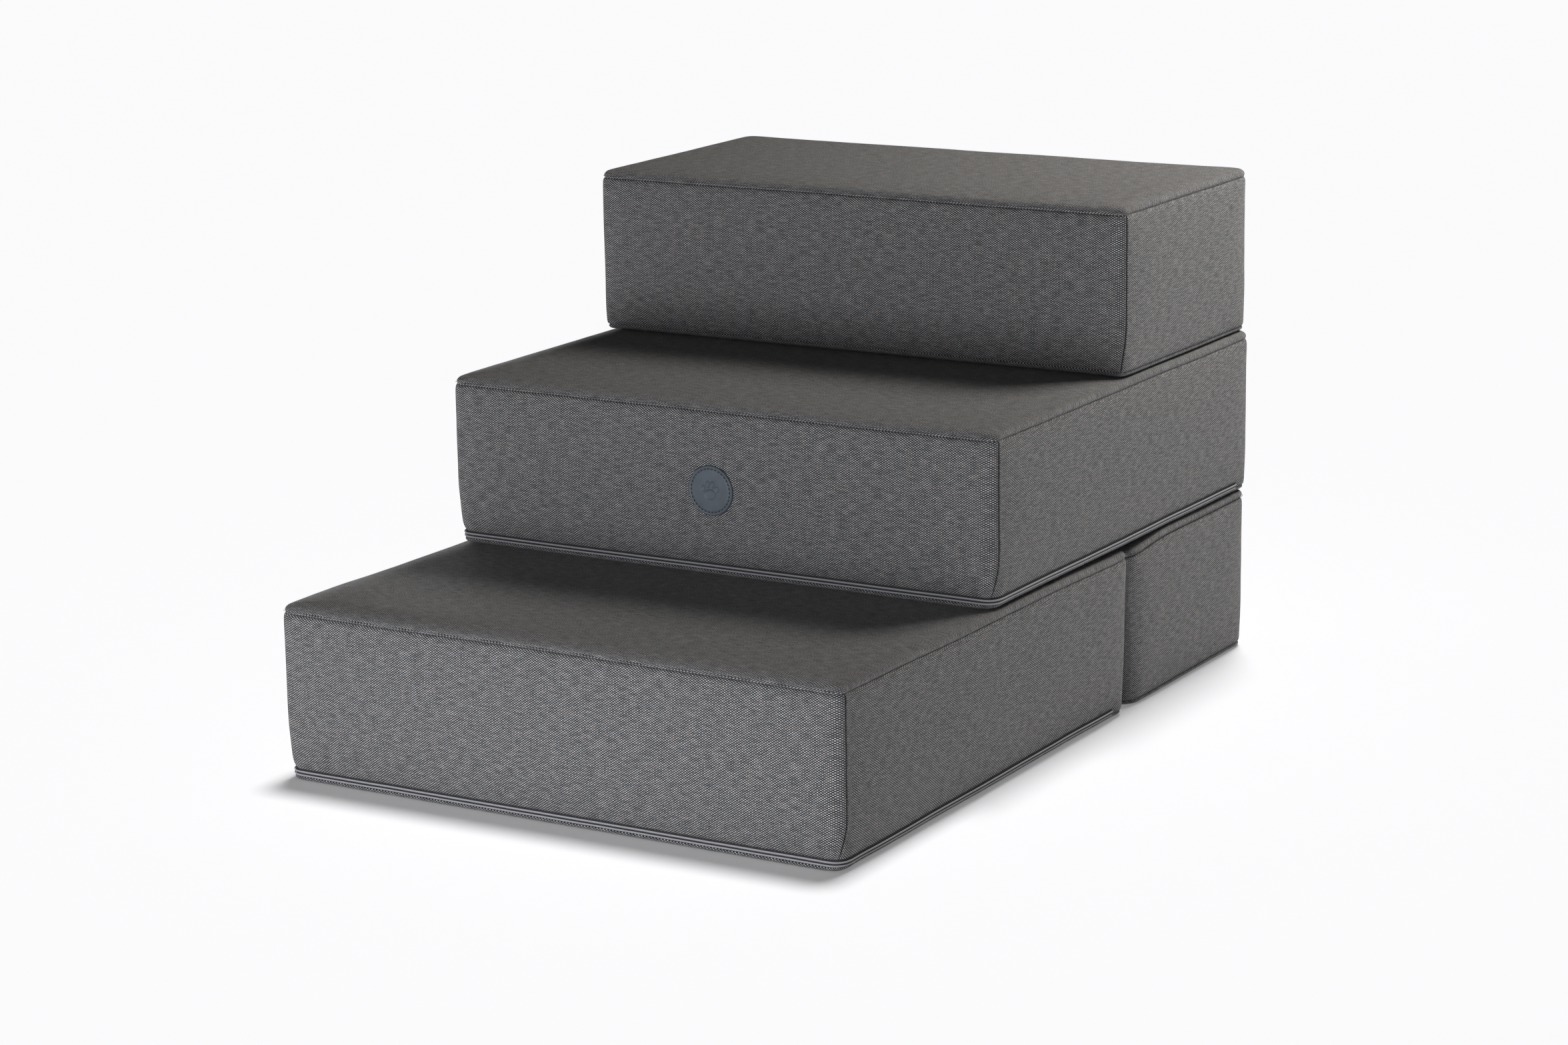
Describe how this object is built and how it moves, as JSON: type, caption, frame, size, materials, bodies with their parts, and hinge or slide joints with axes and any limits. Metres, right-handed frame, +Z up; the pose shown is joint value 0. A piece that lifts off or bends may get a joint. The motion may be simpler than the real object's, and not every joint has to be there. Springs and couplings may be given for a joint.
{
  "type": "folding foam pet stairs",
  "caption": "Folding foam pet stairs: stepped foam blocks in zipped woven covers, joined by fabric hinges, with a round leather patch on the middle step.",
  "frame": {"origin": "middle of the footprint, on the floor", "axes": "+Z up, +Y towards the rear, where the top step is, +X to the right seen from the front"},
  "size_m": [0.5441, 0.7781, 0.45],
  "materials": {
    "foam": "matte",
    "woven_cover": "matte",
    "non_slip_base": "matte",
    "zip_tape": "matte",
    "zip_coil": "satin",
    "zip_metal": "satin",
    "hinge_tape": "matte",
    "patch_leather": "satin",
    "sewing_thread": "matte"
  },
  "bodies": {
    "rear_base": {"base_foam_core": "foam", "base_tread_panel": "woven_cover", "base_wrap_panel": "woven_cover", "base_bottom_panel": "non_slip_base", "base_zip_upper_tape": "zip_tape", "base_zip_coil": "zip_coil", "base_zip_lower_tape": "zip_tape", "front_hinge_tape": "hinge_tape", "middle_hinge_tape": "hinge_tape"},
    "front_step": {"front_foam_core": "foam", "front_tread_panel": "woven_cover", "front_face_panel": "woven_cover", "front_wrap_panel": "woven_cover", "front_bottom_panel": "non_slip_base", "front_zip_upper_tape": "zip_tape", "front_zip_coil": "zip_coil", "front_zip_lower_tape": "zip_tape"},
    "middle_step": {"middle_foam_core": "foam", "middle_tread_panel": "woven_cover", "middle_face_panel": "woven_cover", "middle_wrap_panel": "woven_cover", "middle_bottom_panel": "woven_cover", "middle_zip_upper_tape": "zip_tape", "middle_zip_coil": "zip_coil", "middle_zip_lower_tape": "zip_tape", "top_hinge_tape": "hinge_tape", "patch": "patch_leather", "patch_stitching": "sewing_thread"},
    "top_step": {"top_foam_core": "foam", "top_tread_panel": "woven_cover", "top_face_panel": "woven_cover", "top_wrap_panel": "woven_cover", "top_bottom_panel": "woven_cover", "top_zip_upper_tape": "zip_tape", "top_zip_coil": "zip_coil", "top_zip_lower_tape": "zip_tape"},
    "front_slider": {"front_zip_slider": "zip_metal"},
    "front_pull": {"front_zip_pull": "zip_metal"},
    "base_slider": {"base_zip_slider": "zip_metal"},
    "base_pull": {"base_zip_pull": "zip_metal"},
    "middle_slider": {"middle_zip_slider": "zip_metal"},
    "middle_pull": {"middle_zip_pull": "zip_metal"},
    "top_slider": {"top_zip_slider": "zip_metal"},
    "top_pull": {"top_zip_pull": "zip_metal"}
  },
  "joints": [
    {"name": "middle_fold", "type": "hinge", "parent": "rear_base", "child": "middle_step", "pos_m": [0, 0.387, 0.15], "axis": [-1, 0, 0], "range_deg": [0, 90]},
    {"name": "front_fold", "type": "hinge", "parent": "rear_base", "child": "front_step", "pos_m": [0, 0.129, 0.1498], "axis": [-1, 0, 0], "range_deg": [0, 90]},
    {"name": "top_fold", "type": "hinge", "parent": "middle_step", "child": "top_step", "pos_m": [0, 0.387, 0.3], "axis": [-1, 0, 0], "range_deg": [0, 170]},
    {"name": "front_zip_slide", "type": "slide", "parent": "front_step", "child": "front_slider", "axis": [0, -1, 0], "range_m": [0, 0.46]},
    {"name": "front_pull_flip", "type": "hinge", "parent": "front_slider", "child": "front_pull", "pos_m": [-0.27285, 0.0918, 0.0065], "axis": [0, 0, -1], "range_deg": [0, 180]},
    {"name": "middle_zip_slide", "type": "slide", "parent": "middle_step", "child": "middle_slider", "axis": [0, -1, 0], "range_m": [0, 0.46]},
    {"name": "middle_pull_flip", "type": "hinge", "parent": "middle_slider", "child": "middle_pull", "pos_m": [-0.27285, 0.35, 0.1567], "axis": [0, 0, -1], "range_deg": [0, 180]},
    {"name": "base_zip_slide", "type": "slide", "parent": "rear_base", "child": "base_slider", "axis": [-1, 0, 0], "range_m": [0, 0.422]},
    {"name": "base_pull_flip", "type": "hinge", "parent": "base_slider", "child": "base_pull", "pos_m": [0.211, 0.38985, 0.0749], "axis": [0, 0, -1], "range_deg": [0, 180]},
    {"name": "top_zip_slide", "type": "slide", "parent": "top_step", "child": "top_slider", "axis": [-1, 0, 0], "range_m": [0, 0.422]},
    {"name": "top_pull_flip", "type": "hinge", "parent": "top_slider", "child": "top_pull", "pos_m": [0.211, 0.38985, 0.3751], "axis": [0, 0, -1], "range_deg": [0, 180]}
  ],
  "couplings": [
    {"joint": "front_fold", "follows": "middle_fold", "ratio": 1}
  ]
}
